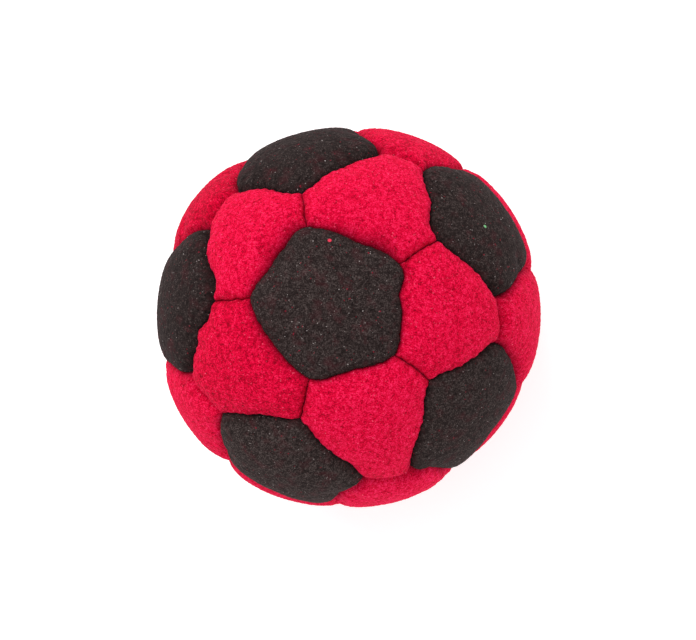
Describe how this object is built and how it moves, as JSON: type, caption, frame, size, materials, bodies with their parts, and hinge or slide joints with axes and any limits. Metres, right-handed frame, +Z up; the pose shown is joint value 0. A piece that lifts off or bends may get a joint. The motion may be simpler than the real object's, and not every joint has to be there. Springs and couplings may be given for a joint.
{
  "type": "juggling ball",
  "caption": "Soft hand-sewn juggling ball of crimson and black microsuede panels over a loose pellet filling, standing on a small flat patch.",
  "frame": {"origin": "centre of the flat patch on the underside that the ball rests on", "axes": "+Z up through the centre of the top black panel, the ball's five-fold axis; +X points at the middle of a black panel of the lower ring, pentagon_lower_5, and -X at the middle of pentagon_upper_3"},
  "size_m": [0.0518, 0.0514, 0.051],
  "materials": {
    "red_suede": "crimson microsuede, matt short nap, slightly mottled",
    "black_suede": "warm black microsuede, matt short nap that greys at grazing angles, a few specks of lint",
    "thread": "dark waxed polyester sewing thread",
    "pellets": "off-white plastic pellets, satin"
  },
  "bodies": {
    "root": {"pentagon_top": "black_suede", "pentagon_upper_1": "black_suede", "pentagon_upper_2": "black_suede", "pentagon_upper_3": "black_suede", "pentagon_upper_4": "black_suede", "pentagon_upper_5": "black_suede", "pentagon_lower_1": "black_suede", "pentagon_lower_2": "black_suede", "pentagon_lower_3": "black_suede", "pentagon_lower_4": "black_suede", "pentagon_lower_5": "black_suede", "pentagon_bottom": "black_suede", "hexagon_top_1": "red_suede", "hexagon_top_2": "red_suede", "hexagon_top_3": "red_suede", "hexagon_top_4": "red_suede", "hexagon_top_5": "red_suede", "hexagon_upper_1": "red_suede", "hexagon_upper_2": "red_suede", "hexagon_upper_3": "red_suede", "hexagon_upper_4": "red_suede", "hexagon_upper_5": "red_suede", "hexagon_lower_1": "red_suede", "hexagon_lower_2": "red_suede", "hexagon_lower_3": "red_suede", "hexagon_lower_4": "red_suede", "hexagon_lower_5": "red_suede", "hexagon_bottom_1": "red_suede", "hexagon_bottom_2": "red_suede", "hexagon_bottom_3": "red_suede", "hexagon_bottom_4": "red_suede", "hexagon_bottom_5": "red_suede", "seam_thread": "thread", "pellet_filling": "pellets"}
  },
  "joints": []
}
